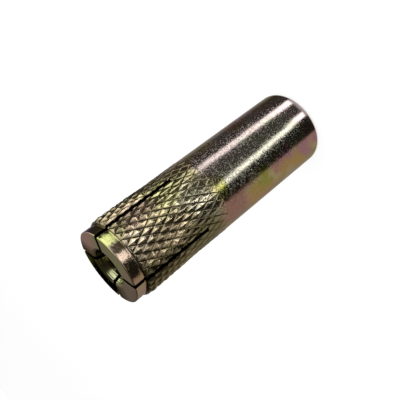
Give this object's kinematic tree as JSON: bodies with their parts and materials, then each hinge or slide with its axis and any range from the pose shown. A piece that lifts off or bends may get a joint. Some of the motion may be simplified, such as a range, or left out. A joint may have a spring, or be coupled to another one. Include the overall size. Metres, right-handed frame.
{
  "type": "drop-in anchor",
  "caption": "Cylindrical steel drop-in anchor: a shell with an internal thread, a diamond-knurled and slotted expansion end, and a tapered expander plug waiting inside it.",
  "frame": {"origin": "centre of the threaded end's face, which the anchor stands on", "axes": "+Z along the shell's axis, from the threaded end up to the slotted nose; -Y is the front, where one of the leaves faces"},
  "size_m": [0.0164, 0.0164, 0.05],
  "materials": {
    "yellow_zinc_steel": "yellow chromate over zinc, smooth and iridescent",
    "plain_steel": "bare turned steel"
  },
  "bodies": {
    "root": {"shell": "yellow_zinc_steel", "expander_plug": "plain_steel"}
  },
  "joints": []
}
